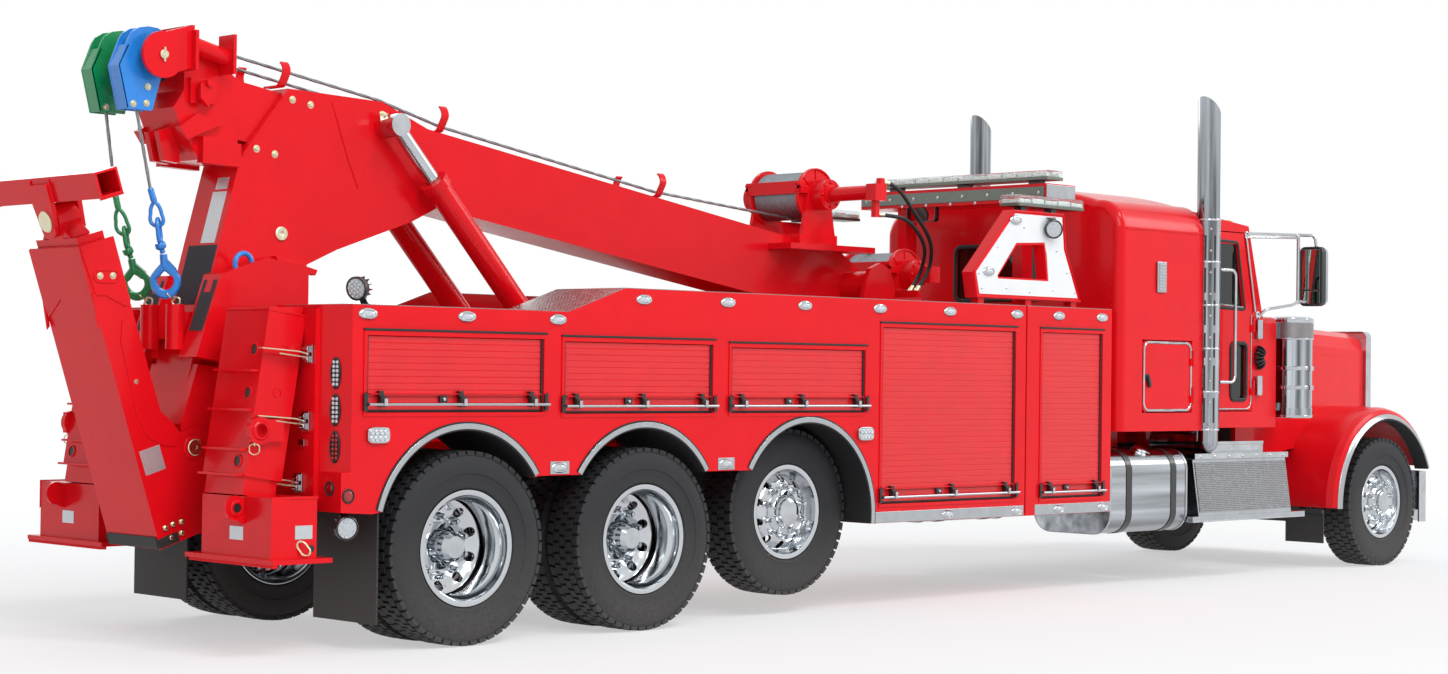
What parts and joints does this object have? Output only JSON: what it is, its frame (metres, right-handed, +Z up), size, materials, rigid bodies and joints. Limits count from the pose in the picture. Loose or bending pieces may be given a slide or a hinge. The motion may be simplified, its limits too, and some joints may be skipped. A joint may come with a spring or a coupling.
{
  "type": "tow truck",
  "caption": "Heavy tow truck with sleeper cab, locker bodies, lifting and telescoping boom, folding underlift, two winches and rear outriggers.",
  "frame": {"origin": "mid-length of the truck, on its centre plane, at ground level under the tyres", "axes": "+X forward towards the front bumper, +Y to the truck's left, +Z up"},
  "size_m": [12.6476, 2.81, 3.713],
  "materials": {
    "body_red": "gloss",
    "chassis": "satin",
    "polished_metal": "polished",
    "tread_plate": "satin",
    "dark_metal": "polished",
    "rubber": "matt",
    "interior": "matt",
    "glass": "gloss",
    "chrome": "polished",
    "shutter": "satin",
    "white_panel": "gloss",
    "lens": "gloss",
    "tyre": "matt",
    "hook_paint": "gloss"
  },
  "bodies": {
    "truck": {"chassis_frame": "chassis", "engine_block": "chassis", "steer_axle": "chassis", "rear_axles": "chassis", "fuel_tanks": "polished_metal", "side_steps": "tread_plate", "bumper": "dark_metal", "mud_flaps": "rubber", "cab_shell": "body_red", "cab_interior": "interior", "windows": "glass", "sleeper_shell": "body_red", "sleeper_roof": "body_red", "air_cleaners": "chrome", "exhaust_stacks": "chrome", "mirrors": "chrome", "body_left": "body_red", "body_right": "body_red", "shutters": "shutter", "centre_frame": "body_red", "tail_frame": "body_red", "light_pylons": "white_panel", "lamps": "lens"},
    "wheel_steer_left": {"wheel_steer_left": "tyre"},
    "wheel_steer_right": {"wheel_steer_right": "tyre"},
    "wheel_pusher_left": {"wheel_pusher_left": "tyre"},
    "wheel_pusher_right": {"wheel_pusher_right": "tyre"},
    "wheels_drive_front_left": {"wheels_drive_front_left": "tyre"},
    "wheels_drive_front_right": {"wheels_drive_front_right": "tyre"},
    "wheels_drive_rear_left": {"wheels_drive_rear_left": "tyre"},
    "wheels_drive_rear_right": {"wheels_drive_rear_right": "tyre"},
    "knuckle_left": {"knuckle_left": "chassis"},
    "knuckle_right": {"knuckle_right": "chassis"},
    "cab_door_left": {"cab_door_left": "body_red", "door_glass_left": "glass"},
    "cab_door_right": {"cab_door_right": "body_red", "door_glass_right": "glass"},
    "bunk_door_left": {"bunk_door_left": "body_red"},
    "bunk_door_right": {"bunk_door_right": "body_red"},
    "hood": {"hood": "body_red", "grille": "chrome", "headlamps": "chrome"},
    "boom": {"boom": "body_red", "rope_hooks": "hook_paint", "winch_hoses": "rubber"},
    "boom_extension": {"boom_extension": "body_red", "sheave_heads": "hook_paint"},
    "lift_barrels": {"lift_barrels": "body_red"},
    "lift_rods": {"lift_rods": "chrome"},
    "underlift_arm": {"underlift_arm": "body_red"},
    "underlift_extension": {"underlift_extension": "body_red"},
    "crossbar": {"crossbar": "body_red"},
    "outrigger_left": {"outrigger_left": "body_red"},
    "outrigger_right": {"outrigger_right": "body_red"},
    "winch_drum_upper": {"winch_drum_upper": "chassis"},
    "winch_drum_lower": {"winch_drum_lower": "chassis"}
  },
  "joints": [
    {"name": "wheel_steer_left_spin", "type": "hinge", "parent": "knuckle_left", "child": "wheel_steer_left", "pos_m": [5.53377, 1.035, 0.535], "axis": [0, 1, 0], "continuous": true},
    {"name": "wheel_pusher_left_spin", "type": "hinge", "parent": "truck", "child": "wheel_pusher_left", "pos_m": [-1.53623, 0.905, 0.66], "axis": [0, 1, 0], "continuous": true},
    {"name": "wheels_drive_front_left_spin", "type": "hinge", "parent": "truck", "child": "wheels_drive_front_left", "pos_m": [-2.94223, 0.91, 0.548], "axis": [0, 1, 0], "continuous": true},
    {"name": "wheels_drive_rear_left_spin", "type": "hinge", "parent": "truck", "child": "wheels_drive_rear_left", "pos_m": [-4.29623, 0.91, 0.548], "axis": [0, 1, 0], "continuous": true},
    {"name": "steer_left", "type": "hinge", "parent": "truck", "child": "knuckle_left", "pos_m": [5.53377, 0.845, 0.53], "axis": [0, 0, 1], "range_deg": [-35, 35]},
    {"name": "cab_door_left_hinge", "type": "hinge", "parent": "truck", "child": "cab_door_left", "pos_m": [3.82777, 1.013, 2], "axis": [0, 0, -1], "range_deg": [0, 70]},
    {"name": "bunk_door_left_hinge", "type": "hinge", "parent": "truck", "child": "bunk_door_left", "pos_m": [2.78177, 1.163, 1.56], "axis": [0, 0, -1], "range_deg": [0, 85]},
    {"name": "wheel_steer_right_spin", "type": "hinge", "parent": "knuckle_right", "child": "wheel_steer_right", "pos_m": [5.53377, -1.035, 0.535], "axis": [0, 1, 0], "continuous": true},
    {"name": "wheel_pusher_right_spin", "type": "hinge", "parent": "truck", "child": "wheel_pusher_right", "pos_m": [-1.53623, -0.905, 0.66], "axis": [0, 1, 0], "continuous": true},
    {"name": "wheels_drive_front_right_spin", "type": "hinge", "parent": "truck", "child": "wheels_drive_front_right", "pos_m": [-2.94223, -0.91, 0.548], "axis": [0, 1, 0], "continuous": true},
    {"name": "wheels_drive_rear_right_spin", "type": "hinge", "parent": "truck", "child": "wheels_drive_rear_right", "pos_m": [-4.29623, -0.91, 0.548], "axis": [0, 1, 0], "continuous": true},
    {"name": "steer_right", "type": "hinge", "parent": "truck", "child": "knuckle_right", "pos_m": [5.53377, -0.845, 0.53], "axis": [0, 0, 1], "range_deg": [-35, 35]},
    {"name": "cab_door_right_hinge", "type": "hinge", "parent": "truck", "child": "cab_door_right", "pos_m": [3.82777, -1.013, 2], "axis": [0, 0, 1], "range_deg": [0, 70]},
    {"name": "bunk_door_right_hinge", "type": "hinge", "parent": "truck", "child": "bunk_door_right", "pos_m": [2.78177, -1.163, 1.56], "axis": [0, 0, 1], "range_deg": [0, 85]},
    {"name": "hood_tilt", "type": "hinge", "parent": "truck", "child": "hood", "pos_m": [6.28877, 0, 0.795], "axis": [0, 1, 0], "range_deg": [0, 70]},
    {"name": "boom_lift", "type": "hinge", "parent": "truck", "child": "boom", "pos_m": [-0.02623, 0, 2.165], "axis": [0, 1, 0], "range_deg": [-4, 30]},
    {"name": "boom_extend", "type": "slide", "parent": "boom", "child": "boom_extension", "axis": [-0.9877, 0, 0.1564], "range_m": [0, 2.2]},
    {"name": "lift_barrel_swing", "type": "hinge", "parent": "truck", "child": "lift_barrels", "pos_m": [-2.54623, 0, 1.23], "axis": [0, 1, 0], "range_deg": [-6, 36]},
    {"name": "lift_rod_slide", "type": "slide", "parent": "lift_barrels", "child": "lift_rods", "axis": [-0.6749, 0, 0.7379], "range_m": [-0.2, 1.42]},
    {"name": "underlift_fold", "type": "hinge", "parent": "boom", "child": "underlift_arm", "pos_m": [-5.48623, 0, 1.1], "axis": [0, -1, 0], "range_deg": [0, 72]},
    {"name": "underlift_extend", "type": "slide", "parent": "underlift_arm", "child": "underlift_extension", "axis": [-0.3074, 0, 0.9516], "range_m": [0, 0.9]},
    {"name": "crossbar_swivel", "type": "hinge", "parent": "underlift_extension", "child": "crossbar", "pos_m": [-6.17002, 0, 2.3451], "axis": [0.9516, 0, 0.3074], "range_deg": [-40, 40]},
    {"name": "outrigger_left_slide", "type": "slide", "parent": "truck", "child": "outrigger_left", "axis": [-0.1564, 0, -0.9877], "range_m": [0, 0.5]},
    {"name": "outrigger_right_slide", "type": "slide", "parent": "truck", "child": "outrigger_right", "axis": [-0.1564, 0, -0.9877], "range_m": [0, 0.5]},
    {"name": "winch_drum_upper_spin", "type": "hinge", "parent": "boom", "child": "winch_drum_upper", "pos_m": [-0.44623, 0, 2.79], "axis": [0, 1, 0], "continuous": true},
    {"name": "winch_drum_lower_spin", "type": "hinge", "parent": "truck", "child": "winch_drum_lower", "pos_m": [0.50377, 0, 2.27], "axis": [0, 1, 0], "continuous": true}
  ],
  "couplings": [
    {"joint": "steer_left", "follows": "steer_right", "ratio": 1},
    {"joint": "lift_barrel_swing", "follows": "boom_lift", "ratio": 1.12},
    {"joint": "lift_rod_slide", "follows": "boom_lift", "m_per_rad": 2.64}
  ]
}
